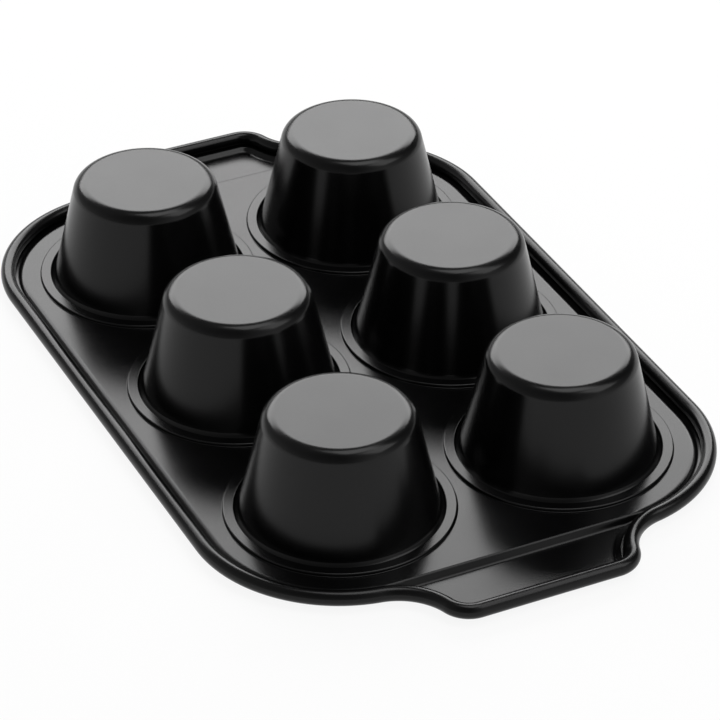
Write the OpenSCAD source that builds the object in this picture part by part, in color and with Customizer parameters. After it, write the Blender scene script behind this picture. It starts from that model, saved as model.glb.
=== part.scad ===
// Popover pan, lying upside down on its two handles with the cup bases up.
// A pressed sheet tray ends all round in a rim rolled over a steel wire, and
// steps down into a wide handle at each end. Six drawn cups are seamed into it:
// each cup's folded flange is held under a raised collar pressed in the tray.
// +X runs along the pan, +Z up, and z = 0 is the surface that it stands on.

/* [Tray plan] */
// Overall length over both handles
overall_l = 400; // [394:1:410]
// Overall width over the long rims
overall_w = 242.6; // [240:0.2:248]
// Length of the body where its corners would end without the handles
body_l = 348; // [344:1:352]
// Radius of the body's corners, at the outer edge
corner_r = 67.1; // [64:0.1:70]
// Radius of the handles' outer corners
tip_r = 14.9; // [14.7:0.1:16]
// Radius of the hollow curve at a handle's root, at the outer edge
root_r = 24.9; // [22:0.1:26]
// Angle short of straight out at which a corner gives way to the root curve
root_turn = 10; // [8:0.5:12]

/* [Tray sheet] */
// Thickness of the tray's sheet
sheet_t = 0.9; // [0.7:0.1:1]
// Distance from the outer edge to the flat of the plate and handles
flat_in = 11.4; // [11.2:0.1:12]
// Radius of the shoulder along the edge of the plate
shoulder_r = 4; // [3:0.1:4.5]
// Drop from the plate to a handle's floor
handle_drop = 3.2; // [2.8:0.1:3.6]
// Distance from the middle of the pan to the step's upper edge
step_x = 164; // [161:0.1:165]
// Slope of the step
step_slope = 58; // [50:1:80]
// Radius where a handle's floor turns up to the rim
floor_r = 3; // [2:0.1:3.4]
// Radius where that slope turns flat beside the rim
lip_r = 1.2; // [1:0.1:1.4]

/* [Rolled rim] */
// Diameter of the rolled rim
rim_d = 6.8; // [6.4:0.1:7]
// Height of the rim's centre above the plate's face
rim_rise = 1.1; // [0.8:0.1:1.4]
// Gap between the wire and the sheet rolled round it
wire_gap = 0.05; // [0.05:0.01:0.1]
// Angle below level at which the roll's free edge ends
roll_end = 40; // [20:1:42]

/* [Cups] */
// Spacing of the cups along the pan
pitch_x = 104.8; // [103:0.1:106]
// Spacing of the cups across the pan
pitch_y = 106; // [105:0.1:108]
// Height of the cup bases above the plate's face
cup_h = 49.5; // [40:0.5:60]
// Radius of the flat of a cup's base
base_r = 27.3; // [26:0.1:28]
// Radius of the round edge of a cup's base
base_edge_r = 6.35; // [5:0.05:7]
// Slope of a cup's wall from upright
wall_slope = 13.2; // [12:0.1:13.4]
// Radius of the flare between a cup's wall and its flange
flare_r = 3.5; // [3:0.1:3.8]
// Thickness of the cups' sheet
cup_t = 0.7; // [0.6:0.05:0.7]

/* [Seams] */
// Outer radius of the raised collar round a cup
collar_r = 50.4; // [50:0.1:51]
// Radius of the hole in the collar
collar_hole_r = 45.6; // [45.4:0.1:46.4]
// Rounding of the collar's upper outer edge
collar_edge_r = 0.7; // [0.4:0.05:0.8]
// Rounding of the tray's edge round a cup's mouth
mouth_edge_r = 0.5; // [0.3:0.05:0.6]
// Gap between a cup's folded flange and the collar's riser
flange_gap = 0.25; // [0.15:0.05:0.4]
// Width of the fold in a cup's flange
hem_w = 2.1; // [1.8:0.1:2.3]

/* [Hidden] */
$fn = 96;
CUPS_X = 3;
CUPS_Y = 2;
COATING = [0.09, 0.09, 0.095];
WIRE = [0.62, 0.62, 0.63];
// Facets of the small rounds in a section
small_fn = 48;
// How far a cutting or filling shape runs past what it cuts or fills
past = 3;

// Heights of the sheet's upper faces
plate_z = handle_drop + sheet_t;
floor_z = sheet_t;
rim_r = rim_d / 2;
bore_r = rim_r - sheet_t;
rim_z = plate_z + rim_rise;
groove_z = rim_z - bore_r;

// Plan of the outer edge, in the quarter with x and y above 0: a corner about
// corner_c runs into a hollow curve about root_c, and that into a tip about tip_c
half_w = overall_w / 2;
half_l = overall_l / 2;
corner_c = [body_l / 2 - corner_r, half_w - corner_r];
root_c = corner_c + (corner_r + root_r) * [cos(root_turn), sin(root_turn)];
tip_x = half_l - tip_r;
tip_c = [tip_x, root_c.y - sqrt(pow(root_r + tip_r, 2) - pow(root_c.x - tip_x, 2))];
tip_turn = atan2(root_c.y - tip_c.y, root_c.x - tip_c.x);

// Sections are drawn with the outer edge at x = 0 and the pan's middle at -x.
// The swept band reaches in to band_in, and flat sheets fill the rest.
band_in = 13.2;
fill_in = 12.4;
// The shoulder and the floor's slope are sides of a 3-4-5 triangle, whose tangent
// points come to short decimals
STEEP = [0.6, 0.8];
GENTLE = [0.8, 0.6];
// Half the height of the prisms that cut the swept pieces to length
cut_z = 40;
// Where the sheet under the rim hands over from the roll to the tray's sheet, and
// where the shoulder meets it
roll_in = rim_r + 1.5;
foot_out = 8.5;

// Cup centres
cup_at = [for (j = [0 : CUPS_Y - 1], i = [0 : CUPS_X - 1])
    [(i - (CUPS_X - 1) / 2) * pitch_x, (j - (CUPS_Y - 1) / 2) * pitch_y]];

// Heights in a seam: the flange is folded double, flush with the tray's underside
tray_under_z = plate_z - sheet_t;
flange_z = tray_under_z + cup_t;
hem_z = flange_z + cup_t;
collar_z = hem_z + sheet_t;
base_z = plate_z + cup_h;
riser_r = collar_r - sheet_t;
flange_r = riser_r - flange_gap;
// The collar's pressing runs out to seam_out, past the edge of the hole it fills
seam_out = collar_r + 0.7;
seam_hole_r = collar_r + 0.35;

// A cup's wall, its outer face at the round of the base and at the flange
edge_z = base_z - base_edge_r;
wall_foot_r = base_r + base_edge_r / cos(wall_slope) + (edge_z - flange_z) * tan(wall_slope);
flare_turn = 90 - wall_slope;
flare_c = [wall_foot_r + flare_r * tan(flare_turn / 2), flange_z + flare_r];

// Point of an arc
function on(c, r, a) = c + r * [cos(a), sin(a)];

// Points of an arc about c, from angle a to angle b
function arc(c, r, a, b, steps) = [for (i = [0 : steps]) on(c, r, a + (b - a) * i / steps)];

// Flat area "d" in from the outer edge. Its edge lies inside other sheets, so a few
// points do for its rounds, times "fine".
module plan(d, fine = 1) {
    quarter = concat(
        arc(corner_c, corner_r - d, 90, root_turn, 8 * fine),
        arc(root_c, root_r + d, 180 + root_turn, 180 + tip_turn, 6 * fine),
        arc(tip_c, tip_r - d, tip_turn, 0, 2 * fine));
    last = len(quarter) - 1;
    polygon([for (q = [0 : 3], i = [0 : last])
        let (p = quarter[q % 2 == 0 ? i : last - i])
        [(q < 2 ? 1 : -1) * p.x, (q == 0 || q == 3 ? 1 : -1) * p.y]]);
}

// Moves by v in two steps, which keeps more digits of it
module put(v) {
    near = [for (x = v) round(x)];
    translate(near) translate(v - near) children();
}

// Revolves a section about c, with its outer edge at radius r
module ring(c, r) {
    put([c.x, c.y, 0]) rotate(180) rotate_extrude() put([r, 0]) children();
}

// Cuts to the prism over an area of the plan
module over(area) {
    intersection() {
        children();
        translate([0, 0, -cut_z]) linear_extrude(2 * cut_z) polygon(area);
    }
}

// Sweeps a section round the whole outer edge
module sweep() {
    long = 2 * half_l;
    for (turn = [0, 180]) rotate(turn) {
        translate([-corner_c.x, half_w, 0])
            rotate([90, 0, 90])
            linear_extrude(2 * corner_c.x)
            children();
        over([[0, tip_c.y], [long, tip_c.y], [long, -tip_c.y], [0, -tip_c.y]])
            put([half_l, corner_c.y, 0])
            rotate([90, 0, 0])
            linear_extrude(2 * corner_c.y)
            children();
    }
    for (mx = [0, 1], my = [0, 1]) mirror([mx, 0, 0]) mirror([0, my, 0]) {
        over([corner_c, root_c, [root_c.x, long], [corner_c.x, long]])
            ring(corner_c, corner_r) children();
        over([root_c, corner_c, [corner_c.x, 0], [tip_c.x, 0], tip_c])
            ring(root_c, root_r) mirror([1, 0]) children();
        over([tip_c, root_c, [long, root_c.y], [long, tip_c.y]])
            ring(tip_c, tip_r) children();
    }
}

// Section below a face that falls outwards from "top" over a convex shoulder.
// "skin" offsets the face inwards.
module shoulder_section(top, skin, low) {
    c = [-flat_in, top - shoulder_r];
    r = shoulder_r - skin;
    t = c + r * GENTLE;
    run = (t.y - low) * STEEP.x / STEEP.y;
    polygon([[-band_in, low], [-band_in, top - skin], [c.x, top - skin], c, t, [t.x + run, low]]);
    intersection() {
        translate(c) circle(r, $fn = small_fn);
        polygon([c, c + [0, 2 * r], c + 2 * r * GENTLE]);
    }
}

// Section below a handle's floor and the slope that rises from it to the groove
// beside the rim. "skin" offsets the face inwards, and "out" ends the section.
module floor_section(skin, low, out) {
    across = [STEEP.x, -STEEP.y];
    foot = [-flat_in, floor_z + floor_r];
    rise = groove_z - floor_z - (floor_r + lip_r) * (1 - STEEP.y);
    lip_start = foot + floor_r * across + [rise * GENTLE.x / GENTLE.y, rise];
    lip = lip_start + lip_r * across;
    foot_t = foot + (floor_r + skin) * across;
    lip_t = lip - (lip_r - skin) * across;
    difference() {
        polygon([[-band_in, low], [-band_in, floor_z - skin], [foot.x, floor_z - skin],
            [foot.x, foot.y], foot_t, lip_t, lip, [lip.x, groove_z - skin],
            [-out, groove_z - skin], [-out, low]]);
        translate(foot) circle(floor_r + skin, $fn = small_fn);
    }
    intersection() {
        translate(lip) circle(lip_r - skin, $fn = small_fn);
        polygon([lip, lip + [0, 2 * lip_r], lip - 2 * lip_r * across]);
    }
}

// Area in the XZ plane below the step's faces at both ends
module step_section(skin, low) {
    top = plate_z + past;
    x = step_x - skin / sin(step_slope);
    top_x = x - (top - plate_z) / tan(step_slope);
    low_x = x + (plate_z - low) / tan(step_slope);
    polygon([[-low_x, low], [-top_x, top], [top_x, top], [low_x, low]]);
}

// Section of the plate's sheet: its edge, shoulder and foot, out to the roll
module shoulder_sheet() {
    difference() {
        union() {
            shoulder_section(plate_z, 0, -past);
            translate([-foot_out, groove_z - sheet_t]) square([foot_out - roll_in, sheet_t]);
        }
        shoulder_section(plate_z, sheet_t, -2 * past);
        translate([-2 * band_in, groove_z - sheet_t - 2 * past]) square([2 * band_in, 2 * past]);
    }
}

// Section of a handle's sheet: its floor and slope, out to the roll
module floor_sheet() {
    difference() {
        floor_section(0, -past, roll_in);
        floor_section(sheet_t, -2 * past, roll_in - past / 3);
    }
}

// Prism along Y below the step's face
module below_step(skin, low) {
    rotate([90, 0, 0])
        linear_extrude(overall_w, center = true)
        step_section(skin, low);
}

// The step's wall. At its ends it dies away within the thickness of the sheets
// above and below it, so its plan narrows level by level.
module step_wall() {
    high = plate_z - 0.3;
    mid = plate_z - 1;
    foot = groove_z - 0.4;
    high_d = flat_in - sqrt(pow(shoulder_r, 2) - pow(shoulder_r - 0.3, 2)) + 0.4;
    mid_d = flat_in - sqrt(pow(shoulder_r, 2) - pow(shoulder_r - 1, 2)) + 0.3;
    intersection() {
        rotate([90, 0, 0])
            linear_extrude(overall_w, center = true)
            difference() {
                step_section(0, -2 * past);
                step_section(sheet_t, -3 * past);
            }
        union() {
            translate([0, 0, floor_z / 2]) linear_extrude(high - floor_z / 2) plan(high_d, 2);
            translate([0, 0, floor_z + 0.1]) linear_extrude(mid - floor_z - 0.1) plan(mid_d, 2);
            translate([0, 0, groove_z - 1]) linear_extrude(foot - groove_z + 1) plan(foot_out - 0.3, 2);
        }
    }
}

// Section of the sheet rolled round the wire, from under the rim to its free edge
module roll_section() {
    c = [-rim_r, rim_z];
    difference() {
        translate(c) circle(rim_r);
        translate(c) circle(bore_r);
        // The quarter between the groove's floor and the free edge is open
        translate(c) polygon([[0, 0], rim_d * [-cos(roll_end), -sin(roll_end)], [-rim_d, -rim_d], [0, -rim_d]]);
    }
    translate([-roll_in, groove_z - sheet_t]) square([roll_in - rim_r, sheet_t]);
}

// Section of a raised collar and its riser, round a cup
module collar_section() {
    edge = [collar_r - collar_edge_r, collar_z - collar_edge_r];
    mouth = [riser_r + mouth_edge_r, tray_under_z + mouth_edge_r];
    difference() {
        union() {
            translate([collar_hole_r, hem_z]) square([edge.x - collar_hole_r, sheet_t]);
            translate([riser_r, tray_under_z]) square([sheet_t, edge.y - tray_under_z]);
            translate(edge) circle(collar_edge_r, $fn = small_fn);
            translate([riser_r, tray_under_z]) square([seam_out - riser_r, sheet_t]);
        }
        difference() {
            translate([riser_r - past, tray_under_z - past]) square([mouth_edge_r + past, mouth_edge_r + past]);
            translate(mouth) circle(mouth_edge_r, $fn = small_fn);
        }
    }
}

// Half section of a cup, filled to its axis: the outside, or with "skin" the cavity
module cup_section(skin, low) {
    c = [base_r, edge_z];
    t = on(c, base_edge_r - skin, wall_slope);
    flare_t = on(flare_c, flare_r + skin, 180 + wall_slope);
    translate([0, edge_z]) square([base_r, base_edge_r - skin]);
    intersection() {
        translate(c) circle(base_edge_r - skin, $fn = small_fn);
        translate(c) square(2 * base_edge_r, center = true);
    }
    polygon([[0, low], [flare_c.x, low], [flare_c.x, flange_z - skin], flare_t, t, c, [0, c.y]]);
}

module tray_plate() {
    color(COATING) {
        intersection() {
            union() {
                sweep() shoulder_sheet();
                difference() {
                    translate([0, 0, tray_under_z]) linear_extrude(sheet_t) plan(fill_in);
                    for (p = cup_at)
                        translate([p.x, p.y, tray_under_z - past])
                        cylinder(r = seam_hole_r, h = 2 * past);
                }
            }
            below_step(0, -2 * past);
        }
        difference() {
            union() {
                sweep() floor_sheet();
                linear_extrude(floor_z) plan(fill_in);
            }
            below_step(sheet_t, -2 * past);
        }
        step_wall();
        sweep() roll_section();
        for (p = cup_at)
            translate([p.x, p.y, 0])
            rotate_extrude()
            collar_section();
    }
}

module rim_wire() {
    color(WIRE)
    sweep()
    translate([-rim_r, rim_z])
    circle(bore_r - wire_gap, $fn = small_fn);
}

module cup(n) {
    p = cup_at[n - 1];
    hem_r = flange_r - cup_t;
    color(COATING)
    translate([p.x, p.y, 0])
    rotate_extrude()
    difference() {
        union() {
            difference() {
                cup_section(0, tray_under_z);
                translate(flare_c) circle(flare_r, $fn = small_fn);
            }
            translate([flare_c.x, tray_under_z]) square([hem_r - flare_c.x, cup_t]);
            translate([flange_r - hem_w, tray_under_z]) square([hem_w - cup_t, 2 * cup_t]);
            translate([hem_r, flange_z]) circle(cup_t, $fn = small_fn);
        }
        difference() {
            cup_section(cup_t, tray_under_z - past);
            translate(flare_c) circle(flare_r + cup_t, $fn = small_fn);
        }
    }
}

tray_plate();
rim_wire();
for (n = [1 : CUPS_X * CUPS_Y])
    cup(n);
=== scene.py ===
import math

import bpy
import numpy as np
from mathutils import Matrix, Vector
from mathutils.geometry import delaunay_2d_cdt


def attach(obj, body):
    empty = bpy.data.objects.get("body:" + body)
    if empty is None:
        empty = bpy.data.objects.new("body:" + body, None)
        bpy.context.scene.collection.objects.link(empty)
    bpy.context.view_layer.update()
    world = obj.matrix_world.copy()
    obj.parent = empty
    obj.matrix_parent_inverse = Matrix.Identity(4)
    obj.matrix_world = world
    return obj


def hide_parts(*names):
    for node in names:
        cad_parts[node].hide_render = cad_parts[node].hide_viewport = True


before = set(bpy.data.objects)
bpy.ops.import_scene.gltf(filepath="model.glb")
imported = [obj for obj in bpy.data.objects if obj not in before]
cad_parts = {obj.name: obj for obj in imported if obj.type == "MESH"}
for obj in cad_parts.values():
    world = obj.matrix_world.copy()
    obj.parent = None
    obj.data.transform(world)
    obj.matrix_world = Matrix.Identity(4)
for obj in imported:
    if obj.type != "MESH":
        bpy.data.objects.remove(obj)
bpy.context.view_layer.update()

MM = 0.001

# Sizes in mm and degrees, the same as in the part's source
# Plan of the tray, at its outer edge
HALF_LENGTH = 200.0
HALF_WIDTH = 121.3
BODY_LENGTH = 348.0  # to where the body's corners would end without the handles
CORNER_R = 67.1
TIP_R = 14.9  # outer corners of the handles
ROOT_R = 24.9  # hollow curves at the handles' roots
ROOT_TURN = 10.0  # short of straight out, where a corner gives way to a root's curve

# Sheet of the tray
SHEET = 0.9
FLAT_IN = 11.4  # from the outer edge in to the flat of the plate and the handles
SHOULDER_R = 4.0  # along the edge of the plate
HANDLE_DROP = 3.2
STEP_X = 164.0  # upper edge of the step down to a handle
STEP_SLOPE = 58.0
FLOOR_R = 3.0  # where a handle's floor turns up to the rim
LIP_R = 1.2  # where that slope turns flat beside the rim
FLOOR_Z = SHEET
PLATE_Z = FLOOR_Z + HANDLE_DROP
# The slopes beside the rim are sides of a 3-4-5 triangle
SHORT_SIDE = 0.6
LONG_SIDE = 0.8

# Rolled rim
RIM_R = 3.4
RIM_RISE = 1.1  # from the plate's face to the rim's centre
RIM_Z = PLATE_Z + RIM_RISE
BORE_R = RIM_R - SHEET
GROOVE_Z = RIM_Z - BORE_R
ROLL_END = 40.0  # below level, where the roll's free edge ends

# Cups
PITCH_X = 104.8
PITCH_Y = 106.0
CUP_HEIGHT = 49.5  # from the plate's face to a cup's base
CUP_SHEET = 0.7
BASE_R = 27.3
BASE_EDGE_R = 6.35
WALL_SLOPE = 13.2  # from upright
FLARE_R = 3.5  # between a cup's wall and its flange
CUPS = [((i - 1) * PITCH_X, (j - 0.5) * PITCH_Y) for j in range(2) for i in range(3)]

# Seams: a cup's folded flange lies under a raised collar of the tray
COLLAR_R = 50.4
COLLAR_HOLE_R = 45.6
COLLAR_EDGE_R = 0.7
MOUTH_EDGE_R = 0.5  # tray's edge round a cup's mouth
FLANGE_GAP = 0.25  # between the flange and the collar's riser
FOLD_WIDTH = 2.1
TRAY_UNDER_Z = PLATE_Z - SHEET
FLANGE_Z = TRAY_UNDER_Z + CUP_SHEET
FOLD_Z = FLANGE_Z + CUP_SHEET
COLLAR_Z = FOLD_Z + SHEET
BASE_Z = PLATE_Z + CUP_HEIGHT
RISER_R = COLLAR_R - SHEET
FLANGE_R = RISER_R - FLANGE_GAP

# Small rounds that are in this script alone: at a collar's foot, round its hole and
# under its bend, and the crease where a fold's edge lies on the flange
FOOT_FILLET_R = 0.35
HOLE_EDGE_R = 0.32
BEND = 0.1
CREASE = 0.02
SEAM_OUT = COLLAR_R + 2 * FOOT_FILLET_R
# Differences in height within which the step's faces blend: at its upper edge, and at
# its foot on the sheet's upper and lower face
EDGE_BLEND = 1.0
FOOT_BLEND = 1.1
FOOT_BLEND_BELOW = 0.8

# The mesh
# Distance in from the outer edge at which the swept band ends and the flat sheet begins
BAND_IN = 13.2
# Distances in at which rings of points run along the sheet's upper and lower face
UPPER_RINGS = [BAND_IN, 12.6, 12.0, 11.7] + [FLAT_IN - 0.2 * i for i in range(1, 20)] + [7.2, 6.4, 5.0]
LOWER_RINGS = [5.0, 6.4, 7.0] + [7.4 + 0.4 * i for i in range(12)] + [12.4, BAND_IN]
# Rows of points over the step, past its upper edge
STEP_ROWS = [
    -3.8, -3.0, -2.3, -1.8, -1.4, -1.1, -0.8, -0.5, -0.2, 0.1,
    0.4, 0.8, 1.2, 1.5, 1.8, 2.1, 2.4, 2.8, 3.3, 4.2,
]
# Points in such a row, less one, and the gap from its ends to the band
ROW_STEPS = 24
ROW_GAP = 0.5
# Points round a collar and round a cup
HOLE_STEPS = 144
CUP_STEPS = 176
# A distance in at which the sheet is flat, and the half width of a measured slope
FAR_IN = 50.0
NUDGE = 0.01
# Points nearer than this are one point: in a section, and in the flat's plan
SAME = 1e-6
MERGE = 1e-5
# More than a chord of the hole's ring cuts off its circle
HOLE_SLACK = 0.02


# Sections and plans: rows of a point's two coordinates and its normal's two parts
def arc(centre, r, start, end, steps, out=1):
    """Rows along an arc from angle start to end; out is -1 on its hollow side."""
    rows = []
    for i in range(steps + 1):
        a = math.radians(start + (end - start) * i / steps)
        c, s = math.cos(a), math.sin(a)
        rows.append((centre[0] + r * c, centre[1] + r * s, out * c, out * s))
    return rows


def between(first, last, steps):
    """Rows that part the straight run from first to last, with the normal of first."""
    rows = []
    for i in range(1, steps):
        x = first[0] + (last[0] - first[0]) * i / steps
        y = first[1] + (last[1] - first[1]) * i / steps
        rows.append((x, y, first[2], first[3]))
    return rows


def joined(*runs):
    """Runs of rows as one list, without the points that two runs share."""
    rows = []
    for run in runs:
        for row in run:
            if rows and abs(rows[-1][0] - row[0]) + abs(rows[-1][1] - row[1]) < SAME:
                continue
            rows.append(row)
    return rows


class Surface:
    """A mesh in the making, in mm: its points, their normals and its faces."""

    def __init__(self):
        self.points = []
        self.normals = []
        self.faces = []

    def point(self, place, normal):
        self.points.append(tuple(place))
        self.normals.append(tuple(normal))
        return len(self.points) - 1

    def ring(self, places, normals):
        return [self.point(place, normal) for place, normal in zip(places, normals)]

    def turned(self, rows, centre, steps):
        """Rings of rows revolved about the upright axis through centre. A row on the
        axis becomes one point."""
        rings = []
        for r, z, normal_r, normal_z in rows:
            if r < SAME:
                rings.append([self.point((*centre, z), (0, 0, normal_z))])
                continue
            plan = arc(centre, r, 0, 360, steps)[:-1]
            places = [(x, y, z) for x, y, c, s in plan]
            normals = [(normal_r * c, normal_r * s, normal_z) for x, y, c, s in plan]
            rings.append(self.ring(places, normals))
        return rings

    def bands(self, rings, flip=False):
        """Faces from each ring to the next. A ring of one point is a pole."""
        for a, b in zip(rings, rings[1:]):
            steps = max(len(a), len(b))
            for i in range(steps):
                j = (i + 1) % steps
                if len(a) == 1:
                    face = (a[0], b[i], b[j])
                elif len(b) == 1:
                    face = (a[i], b[0], a[j])
                else:
                    face = (a[i], b[i], b[j], a[j])
                self.faces.append(face[::-1] if flip else face)

    def build(self, name):
        mesh = bpy.data.meshes.new(name)
        mesh.from_pydata([tuple(point) for point in np.array(self.points) * MM], [], self.faces)
        mesh.validate()
        mesh.update()
        mesh.shade_smooth()
        normals = np.array(self.normals, float)
        normals /= np.linalg.norm(normals, axis=1, keepdims=True)
        mesh.normals_split_custom_set_from_vertices([tuple(normal) for normal in normals])
        obj = bpy.data.objects.new(name, mesh)
        bpy.context.scene.collection.objects.link(obj)
        return obj


# Cups
def cup_rows():
    """A cup's section: from the axis down its outside, round the fold and up its inside."""
    slope = math.radians(WALL_SLOPE)
    edge = (BASE_R, BASE_Z - BASE_EDGE_R)
    wall_foot_r = BASE_R + BASE_EDGE_R / math.cos(slope) + (edge[1] - FLANGE_Z) * math.tan(slope)
    flare_x = wall_foot_r + FLARE_R * math.tan(math.radians((90 - WALL_SLOPE) / 2))
    flare = (flare_x, FLANGE_Z + FLARE_R)
    wall_end = 180 + WALL_SLOPE
    half = CUP_SHEET / 2
    fold_in = FLANGE_R - FOLD_WIDTH

    base = [(BASE_R * i / 3, BASE_Z, 0, 1) for i in range(3)]
    edge_outside = arc(edge, BASE_EDGE_R, 90, WALL_SLOPE, steps=22)
    flare_outside = arc(flare, FLARE_R, wall_end, 270, steps=14, out=-1)
    crease = [(fold_in, FLANGE_Z, 0, 1), (fold_in, FLANGE_Z + CREASE, -1, 0)]
    flare_inside = arc(flare, FLARE_R + CUP_SHEET, 270, wall_end, steps=14)
    edge_inside = arc(edge, BASE_EDGE_R - CUP_SHEET, WALL_SLOPE, 90, steps=18, out=-1)
    ceiling = [(BASE_R * i / 3, BASE_Z - CUP_SHEET, 0, -1) for i in (1, 0)]
    return joined(
        base,
        edge_outside,
        between(edge_outside[-1], flare_outside[0], steps=12),
        flare_outside,
        crease,
        arc((fold_in + half, FLANGE_Z + half), half, 200, 90, steps=6),
        arc((FLANGE_R - CUP_SHEET, FLANGE_Z), CUP_SHEET, 90, -90, steps=12),
        flare_inside,
        between(flare_inside[-1], edge_inside[0], steps=10),
        edge_inside,
        ceiling,
    )


def build_cup(name, centre):
    surface = Surface()
    surface.bands(surface.turned(cup_rows(), centre, CUP_STEPS))
    return surface.build(name)


# The tray's outline
def outline():
    """Rows of the outer edge, anticlockwise: x, y and the outward normal."""
    corner = (BODY_LENGTH / 2 - CORNER_R, HALF_WIDTH - CORNER_R)
    turn = math.radians(ROOT_TURN)
    reach = CORNER_R + ROOT_R
    root = (corner[0] + reach * math.cos(turn), corner[1] + reach * math.sin(turn))
    tip_x = HALF_LENGTH - TIP_R
    tip = (tip_x, root[1] - math.sqrt((ROOT_R + TIP_R) ** 2 - (root[0] - tip_x) ** 2))
    tip_turn = math.degrees(math.atan2(root[1] - tip[1], root[0] - tip[0]))

    end_middle = (HALF_LENGTH, 0, 1, 0)
    side_middle = (0, HALF_WIDTH, 0, 1)
    tip_arc = arc(tip, TIP_R, 0, tip_turn, steps=24)
    corner_arc = arc(corner, CORNER_R, ROOT_TURN, 90, steps=36)
    quarter = np.array(joined(
        [end_middle],
        between(end_middle, tip_arc[0], steps=5),
        tip_arc,
        arc(root, ROOT_R, 180 + tip_turn, 180 + ROOT_TURN, steps=56, out=-1),
        corner_arc,
        between(corner_arc[-1], side_middle, steps=8),
        [side_middle],
    ))
    half = np.vstack([quarter, quarter[::-1][1:] * [-1, 1, -1, 1]])
    return np.vstack([half, half[::-1][1:-1] * [1, -1, 1, -1]])


# The tray's sheet, as a height over the plan. d is the distance in from the outer
# edge, and skin is 0 for the sheet's upper face and SHEET for its lower face
def smooth_max(a, b, k):
    """The greater of a and b, rounded where they differ by less than k."""
    h = np.maximum(k - np.abs(a - b), 0) / k
    return np.maximum(a, b) + h * h * k / 4


def smooth_min(a, b, k):
    return -smooth_max(-a, -b, k)


def side(hypotenuse, other):
    """Third side of a right triangle."""
    return np.sqrt(np.maximum(hypotenuse ** 2 - other ** 2, 0))


def floor_band(d, skin):
    """Height of a handle's sheet: its floor, and the slope up to the groove."""
    rise = GROOVE_Z - FLOOR_Z - (FLOOR_R + LIP_R) * (1 - LONG_SIDE)
    foot = (FLAT_IN, FLOOR_Z + FLOOR_R)
    lip_d = foot[0] - (FLOOR_R + LIP_R) * SHORT_SIDE - rise * LONG_SIDE / SHORT_SIDE
    lip = (lip_d, GROOVE_Z - LIP_R)
    foot_r = FLOOR_R + skin
    lip_r = LIP_R - skin
    foot_end = foot[0] - foot_r * SHORT_SIDE
    lip_end = lip[0] + lip_r * SHORT_SIDE
    return np.select(
        [d < lip[0], d < lip_end, d < foot_end, d < foot[0]],
        [
            GROOVE_Z - skin,
            lip[1] + side(lip_r, d - lip[0]),
            foot[1] - foot_r * LONG_SIDE + (foot_end - d) * SHORT_SIDE / LONG_SIDE,
            foot[1] - side(foot_r, foot[0] - d),
        ],
        FLOOR_Z - skin,
    )


def plate_band(d, skin):
    """Height of the plate's sheet: its flat, the shoulder and the slope below it."""
    centre = (FLAT_IN, PLATE_Z - SHOULDER_R)
    r = SHOULDER_R - skin
    end = (centre[0] - LONG_SIDE * r, centre[1] + SHORT_SIDE * r)
    return np.select(
        [d < end[0], d < centre[0]],
        [end[1] - (end[0] - d) * LONG_SIDE / SHORT_SIDE, centre[1] + side(r, centre[0] - d)],
        PLATE_Z - skin,
    )


def sheet_z(x, d, skin):
    """Height of the whole sheet: the plate, both steps and the handles' floors."""
    slope = math.radians(STEP_SLOPE)
    step = PLATE_Z + (STEP_X - skin / math.sin(slope) - np.abs(x)) * math.tan(slope)
    plate = smooth_min(plate_band(d, skin), step, EDGE_BLEND)
    return smooth_max(plate, floor_band(d, skin), FOOT_BLEND_BELOW if skin else FOOT_BLEND)


def sheet_face(xy, out, d, skin):
    """Points and normals of a face of the sheet at xy, where out points to the edge."""
    x = xy[:, 0]
    across = (sheet_z(x, d + NUDGE, skin) - sheet_z(x, d - NUDGE, skin)) / (2 * NUDGE)
    along = (sheet_z(x + NUDGE, d, skin) - sheet_z(x - NUDGE, d, skin)) / (2 * NUDGE)
    normals = np.column_stack([across * out[:, 0] - along, across * out[:, 1], np.ones(len(x))])
    return np.column_stack([xy, sheet_z(x, d, skin)]), -normals if skin else normals


def rim_rows():
    """The rim's section: up the inside of the roll, round its free edge and back
    outside. The first coordinate is the distance in from the outer edge."""
    centre = (RIM_R, RIM_Z)
    turn = math.radians(-ROLL_END)
    middle = RIM_R - SHEET / 2
    edge = (centre[0] + middle * math.cos(turn), centre[1] + middle * math.sin(turn))
    return joined(
        arc(centre, BORE_R, 270, -ROLL_END, steps=18, out=-1),
        arc(edge, SHEET / 2, 180 - ROLL_END, 360 - ROLL_END, steps=6),
        arc(centre, RIM_R, -ROLL_END, 270, steps=48),
    )


def sweep_band(surface, loop):
    """Rings along the outline, from the flat's upper face out over the rim and back to
    its lower face. Gives the first and the last."""
    xy, out = loop[:, :2], loop[:, 2:]

    def sheet_ring(d, skin):
        return surface.ring(*sheet_face(xy - out * d, out, np.full(len(loop), d), skin))

    def rim_ring(d, z, normal_in, normal_z):
        places = np.column_stack([xy - out * d, np.full(len(loop), z)])
        normals = np.column_stack([-out * normal_in, np.full(len(loop), normal_z)])
        return surface.ring(places, normals)

    rings = [sheet_ring(d, 0) for d in UPPER_RINGS]
    rings += [rim_ring(*row) for row in rim_rows()]
    rings += [sheet_ring(d, SHEET) for d in LOWER_RINGS]
    surface.bands(rings)
    return rings[0], rings[-1]


# The flat sheet inside the band
def widest(edge, x):
    """The largest y at which a closed edge crosses x."""
    best = 0
    for a, b in zip(edge, np.roll(edge, -1, axis=0)):
        if (a[0] - x) * (b[0] - x) <= 0 and abs(a[0] - b[0]) > SAME:
            best = max(best, a[1] + (b[1] - a[1]) * (x - a[0]) / (b[0] - a[0]))
    return best


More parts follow.
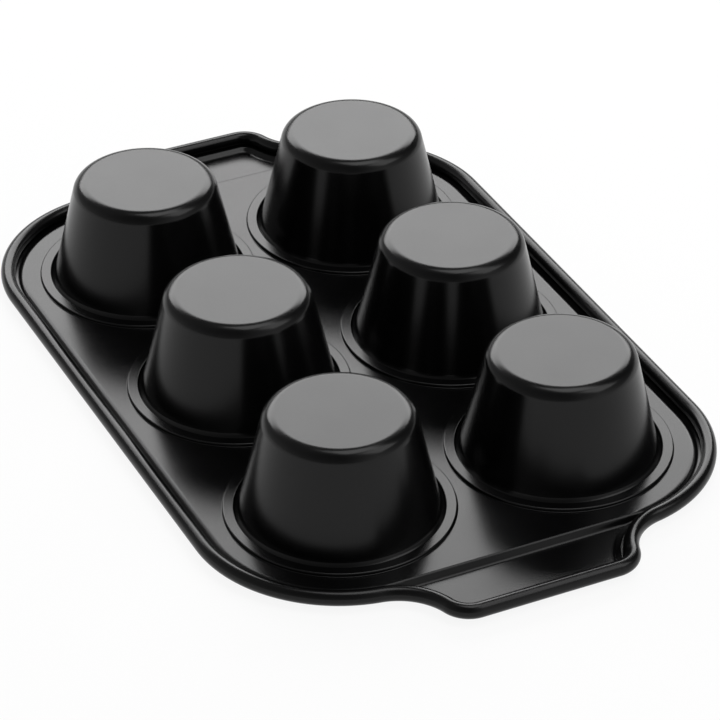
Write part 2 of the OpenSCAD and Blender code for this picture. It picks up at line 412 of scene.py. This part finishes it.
def flat_plan(edge):
    """Points and lines of the flat's plan: its edge, the cups' holes and the rows over
    both steps."""
    points = [tuple(point) for point in edge]
    lines = [(i, (i + 1) % len(edge)) for i in range(len(edge))]
    for centre in CUPS:
        first = len(points)
        points += [row[:2] for row in arc(centre, SEAM_OUT, 0, 360, HOLE_STEPS)[:-1]]
        lines += [(first + i, first + (i + 1) % HOLE_STEPS) for i in range(HOLE_STEPS)]
    for end in (-1, 1):
        for past in STEP_ROWS:
            x = STEP_X + past
            top = widest(edge, x) - ROW_GAP
            first = len(points)
            points += [(end * x, top * (2 * i / ROW_STEPS - 1)) for i in range(ROW_STEPS + 1)]
            lines += [(first + i, first + i + 1) for i in range(ROW_STEPS)]
    return points, lines


def on_flat(edge, x, y):
    """Whether a point of the plan is inside the edge and outside the cups' holes."""
    ax, ay = edge.T
    bx, by = np.roll(edge, -1, axis=0).T
    crossed = (ay > y) != (by > y)
    ax, ay, bx, by = ax[crossed], ay[crossed], bx[crossed], by[crossed]
    at = ax + (y - ay) * (bx - ax) / (by - ay)
    if np.sum(at > x) % 2 == 0:
        return False
    return all(math.hypot(x - cx, y - cy) > SEAM_OUT - HOLE_SLACK for cx, cy in CUPS)


def fill_flat(surface, loop, upper_ring, lower_ring):
    """Both faces of the flat. Gives the upper and the lower ring round each cup's hole."""
    edge = loop[:, :2] - loop[:, 2:] * BAND_IN
    points, lines = flat_plan(edge)
    plan, _, triangles, sources, _, _ = delaunay_2d_cdt(
        [Vector(point) for point in points], lines, [], 0, MERGE)
    plan = np.array([tuple(point) for point in plan])
    d = np.full(len(plan), FAR_IN)
    upper = list(zip(*sheet_face(plan, np.zeros_like(plan), d, 0)))
    lower = list(zip(*sheet_face(plan, np.zeros_like(plan), d, SHEET)))
    pairs = []
    pair_of = {}
    for k, source in enumerate(sources):
        first = min(source, default=len(points))
        if first < len(edge):
            pair = (upper_ring[first], lower_ring[first])
        else:
            pair = (surface.point(*upper[k]), surface.point(*lower[k]))
        pairs.append(pair)
        for s in source:
            pair_of[s] = pair
    for triangle in triangles:
        a, b, c = plan[list(triangle)]
        if not on_flat(edge, *((a + b + c) / 3)):
            continue
        anticlockwise = (b[0] - a[0]) * (c[1] - a[1]) > (b[1] - a[1]) * (c[0] - a[0])
        order = list(triangle) if anticlockwise else list(triangle)[::-1]
        surface.faces.append(tuple(pairs[k][0] for k in order))
        surface.faces.append(tuple(pairs[k][1] for k in order[::-1]))
    holes = []
    for n in range(len(CUPS)):
        first = len(edge) + n * HOLE_STEPS
        holes.append(list(zip(*[pair_of[first + i] for i in range(HOLE_STEPS)])))
    return holes


def collar_rows():
    """A raised collar's section, from the plate's upper face over its top and through
    its hole to the lower face, but without its two outermost rows."""
    hole_x = COLLAR_HOLE_R + HOLE_EDGE_R
    crown = arc((COLLAR_R - COLLAR_EDGE_R, COLLAR_Z - COLLAR_EDGE_R), COLLAR_EDGE_R, 0, 90, steps=6)
    hole_edge = arc((hole_x, COLLAR_Z - HOLE_EDGE_R), HOLE_EDGE_R, 90, 180, steps=3)
    mouth = (RISER_R + MOUTH_EDGE_R, TRAY_UNDER_Z + MOUTH_EDGE_R)
    return joined(
        arc((COLLAR_R + FOOT_FILLET_R, PLATE_Z + FOOT_FILLET_R), FOOT_FILLET_R, 270, 180, steps=4, out=-1),
        crown,
        between(crown[-1], hole_edge[0], steps=3),
        hole_edge,
        arc((hole_x, FOLD_Z + HOLE_EDGE_R), HOLE_EDGE_R, 180, 270, steps=3),
        [(RISER_R - BEND, FOLD_Z, 0, -1), (RISER_R, FOLD_Z - BEND, -1, 0)],
        arc(mouth, MOUTH_EDGE_R, 180, 270, steps=4),
    )


def build_tray():
    surface = Surface()
    loop = outline()
    holes = fill_flat(surface, loop, *sweep_band(surface, loop))
    for centre, (upper_hole, lower_hole) in zip(CUPS, holes):
        collar = surface.turned(collar_rows(), centre, HOLE_STEPS)
        surface.bands([upper_hole, *collar, lower_hole], flip=True)
    return surface.build("tray")


# Materials. Colours are linear, and noise scales are per metre
COAT_DARK = (0.0015, 0.0015, 0.0016)
COAT_LIGHT = (0.003, 0.003, 0.0032)
COAT_IOR = 1.32  # about a fluoropolymer's
COAT_ROUGHNESS = 0.165
# What the coating's clouds and grain add to its roughness, and the grain's depth in metres
CLOUD_ROUGHNESS = 0.07
GRAIN_ROUGHNESS = 0.04
GRAIN_DEPTH = 0.00002
# Shift of the coating's noise
COAT_SHIFT = (0.37, 0.11, 0)
STEEL_DARK = (0.45, 0.45, 0.46)
STEEL_LIGHT = (0.62, 0.62, 0.63)
STEEL_ROUGHNESS = 0.3
STEEL_GRAIN_ROUGHNESS = 0.15


def node(tree, kind, **inputs):
    """A new node with some of its inputs set."""
    n = tree.nodes.new(kind)
    for name, value in inputs.items():
        n.inputs[name].default_value = value
    return n


def math_node(tree, operation, *values):
    """A Math node's output. Each value is a number or another node's output."""
    n = tree.nodes.new("ShaderNodeMath")
    n.operation = operation
    for socket, value in zip(n.inputs, values):
        if isinstance(value, (int, float)):
            socket.default_value = value
        else:
            tree.links.new(value, socket)
    return n.outputs[0]


def ramp(tree, fac, stops):
    """A colour that runs straight through stops of (position, (r, g, b))."""
    n = tree.nodes.new("ShaderNodeValToRGB")
    elements = n.color_ramp.elements
    for k, (position, colour) in enumerate(stops):
        if k > 1:
            elements.new(1.0)
        elements[k].position = position
        elements[k].color = (*colour, 1)
    tree.links.new(fac, n.inputs["Fac"])
    return n.outputs["Color"]


def shaded(name):
    """A new material, its node tree and its shader."""
    material = bpy.data.materials.new(name)
    material.use_nodes = True
    return material, material.node_tree, material.node_tree.nodes["Principled BSDF"]


def coating(name):
    """Satin near-black nonstick coating: a fine sprayed grain in height and gloss, and
    faint clouds in gloss and colour."""
    material, tree, shader = shaded(name)
    coord = tree.nodes.new("ShaderNodeTexCoord")
    place = node(tree, "ShaderNodeMapping", Location=COAT_SHIFT)
    tree.links.new(coord.outputs["Object"], place.inputs["Vector"])
    grain = node(tree, "ShaderNodeTexNoise", Scale=2600.0, Detail=2.0, Roughness=0.5)
    cloud = node(tree, "ShaderNodeTexNoise", Scale=38.0, Detail=3.0, Roughness=0.55)
    for noise in (grain, cloud):
        tree.links.new(place.outputs[0], noise.inputs["Vector"])
    tone = ramp(tree, cloud.outputs["Fac"], [(0.3, COAT_DARK), (0.75, COAT_LIGHT)])
    tree.links.new(tone, shader.inputs["Base Color"])
    rough = math_node(tree, "MULTIPLY_ADD", cloud.outputs["Fac"], CLOUD_ROUGHNESS, COAT_ROUGHNESS)
    rough = math_node(tree, "MULTIPLY_ADD", grain.outputs["Fac"], GRAIN_ROUGHNESS, rough)
    tree.links.new(rough, shader.inputs["Roughness"])
    bump = node(tree, "ShaderNodeBump", Strength=0.05, Distance=GRAIN_DEPTH)
    tree.links.new(grain.outputs["Fac"], bump.inputs["Height"])
    tree.links.new(bump.outputs[0], shader.inputs["Normal"])
    shader.inputs["IOR"].default_value = COAT_IOR
    return material


def steel(name):
    """Plain drawn steel with a faint grain."""
    material, tree, shader = shaded(name)
    coord = tree.nodes.new("ShaderNodeTexCoord")
    grain = node(tree, "ShaderNodeTexNoise", Scale=400.0, Detail=3.0)
    tree.links.new(coord.outputs["Object"], grain.inputs["Vector"])
    tone = ramp(tree, grain.outputs["Fac"], [(0, STEEL_DARK), (1, STEEL_LIGHT)])
    tree.links.new(tone, shader.inputs["Base Color"])
    rough = math_node(tree, "MULTIPLY_ADD", grain.outputs["Fac"], STEEL_GRAIN_ROUGHNESS, STEEL_ROUGHNESS)
    tree.links.new(rough, shader.inputs["Roughness"])
    shader.inputs["Metallic"].default_value = 1.0
    return material


def dress(obj, material):
    obj.data.materials.clear()
    obj.data.materials.append(material)


# The object
coat = coating("nonstick_coating")
tray = build_tray()
dress(tray, coat)
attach(tray, "root")
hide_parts("tray_plate")
for k, centre in enumerate(CUPS, 1):
    cup = build_cup(f"drawn_cup_{k}", centre)
    dress(cup, coat)
    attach(cup, "root")
    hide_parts(f"cup_{k}")
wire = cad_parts["rim_wire"]
dress(wire, steel("wire_steel"))
wire.data.shade_smooth()

# Camera, fitted to the photograph, with its places in metres. Here and for the lights,
# azimuth is in degrees from +X towards +Y
CAMERA_AZIMUTH = -25.69
CAMERA_ELEVATION = 33.692
CAMERA_TARGET = Vector((0.00649, 0.00388, 0.0037))
CAMERA_DISTANCE = 1.68515
CAMERA_LENS = 185.92


def direction(azimuth, elevation):
    az, el = math.radians(azimuth), math.radians(elevation)
    return Vector((math.cos(az) * math.cos(el), math.sin(az) * math.cos(el), math.sin(el)))


def place_camera():
    back = direction(CAMERA_AZIMUTH, CAMERA_ELEVATION)
    data = bpy.data.cameras.new("camera")
    data.sensor_fit = "HORIZONTAL"
    data.sensor_width = 36.0
    data.lens = CAMERA_LENS
    data.clip_start = 0.05
    data.clip_end = 60.0
    data.dof.use_dof = False
    camera = bpy.data.objects.new("camera", data)
    camera.location = CAMERA_TARGET + back * CAMERA_DISTANCE
    camera.rotation_euler = (-back).to_track_quat("-Z", "Y").to_euler()
    bpy.context.scene.collection.objects.link(camera)
    bpy.context.scene.camera = camera


# Floor, backdrop and light, in metres
GROUND_HALF = 12.0
GROUND_Z = -0.0002
BACKDROP_HEIGHT = 1.5
# Share of plain white in the floor and backdrop; the rest is lit paper, which keeps the
# pan's shadow
WHITE_SHARE = 0.9
PAPER = (0.9, 0.9, 0.9, 1)
# The studio's level against azimuth, and the share of it against the elevation's sine
STUDIO_LEVELS = [
    (-180, 0.4), (-115, 0.7), (-60, 0.4), (-15, 0.3), (30, 1.1), (70, 0.4), (100, 0.1), (180, 0.4),
]
STUDIO_FADE = [(0.0, 1.0), (0.3, 0.85), (0.6, 0.6), (1.0, 0.4)]


def floor_material():
    """Pale paper that looks white to the camera, in reflections and through glass."""
    material, tree, shader = shaded("floor_paper")
    tree.nodes.remove(shader)
    rays = tree.nodes.new("ShaderNodeLightPath").outputs
    seen = math_node(tree, "MAXIMUM", rays["Is Camera Ray"], rays["Is Glossy Ray"])
    seen = math_node(tree, "MAXIMUM", seen, rays["Is Transmission Ray"])
    mix = tree.nodes.new("ShaderNodeMixShader")
    tree.links.new(math_node(tree, "MULTIPLY", seen, WHITE_SHARE), mix.inputs[0])
    tree.links.new(node(tree, "ShaderNodeBsdfDiffuse", Color=PAPER).outputs[0], mix.inputs[1])
    tree.links.new(node(tree, "ShaderNodeEmission", Strength=1.0).outputs[0], mix.inputs[2])
    tree.links.new(mix.outputs[0], tree.nodes["Material Output"].inputs["Surface"])
    return material


def build_floor():
    """A floor with a low backdrop round it."""
    half = GROUND_HALF
    corners = [(-half, -half), (half, -half), (half, half), (-half, half)]
    verts = [(x, y, z) for z in (0, BACKDROP_HEIGHT) for x, y in corners]
    walls = [(i, i + 4, (i + 1) % 4 + 4, (i + 1) % 4) for i in range(4)]
    mesh = bpy.data.meshes.new("floor")
    mesh.from_pydata(verts, [], [(0, 1, 2, 3)] + walls)
    obj = bpy.data.objects.new("floor", mesh)
    obj.location.z = GROUND_Z
    bpy.context.scene.collection.objects.link(obj)
    dress(obj, floor_material())


def studio_world():
    """A dim studio. Seen from the camera it is lighter on the left, and lightest on the
    right in front."""
    world = bpy.data.worlds.new("studio")
    world.use_nodes = True
    tree = world.node_tree
    coord = tree.nodes.new("ShaderNodeTexCoord").outputs["Generated"]
    around = tree.nodes.new("ShaderNodeTexGradient")
    around.gradient_type = "RADIAL"
    tree.links.new(coord, around.inputs["Vector"])
    up = tree.nodes.new("ShaderNodeSeparateXYZ")
    tree.links.new(coord, up.inputs[0])
    # a ramp's colours end at 1, so the levels go in as shares of the highest
    top = max(level for azimuth, level in STUDIO_LEVELS)
    levels = [(azimuth / 360 + 0.5, (level / top,) * 3) for azimuth, level in STUDIO_LEVELS]
    fade = [(sine, (share,) * 3) for sine, share in STUDIO_FADE]
    level = math_node(
        tree, "MULTIPLY", ramp(tree, around.outputs["Fac"], levels), ramp(tree, up.outputs["Z"], fade))
    back = tree.nodes["Background"]
    back.inputs["Color"].default_value = (1, 1, 1, 1)
    tree.links.new(math_node(tree, "MULTIPLY", level, top), back.inputs["Strength"])
    bpy.context.scene.world = world


def card(name, azimuth, elevation, distance, width, height, radiance):
    """A soft light that faces the object."""
    data = bpy.data.lights.new(name, "AREA")
    data.shape = "RECTANGLE"
    data.size = width
    data.size_y = height
    data.energy = radiance * math.pi * width * height
    obj = bpy.data.objects.new(name, data)
    obj.location = direction(azimuth, elevation) * distance
    obj.rotation_euler = obj.location.to_track_quat("Z", "Y").to_euler()
    obj.visible_camera = False
    bpy.context.scene.collection.objects.link(obj)


def build_lights():
    # behind the pan, low and broad: the flats mirror it towards the camera
    card("card_back", 158, 33.5, distance=2.6, width=3.2, height=1.05, radiance=5.9)
    # overhead
    card("card_top", 100, 80, distance=2.2, width=1.1, height=1.1, radiance=3.2)
    # high on the right: the spot on each base's near edge, and the steps
    card("card_right", 50, 52, distance=2.4, width=1.2, height=1.3, radiance=2.2)
    studio_world()


place_camera()
build_floor()
build_lights()
bpy.context.scene.view_settings.view_transform = "Standard"
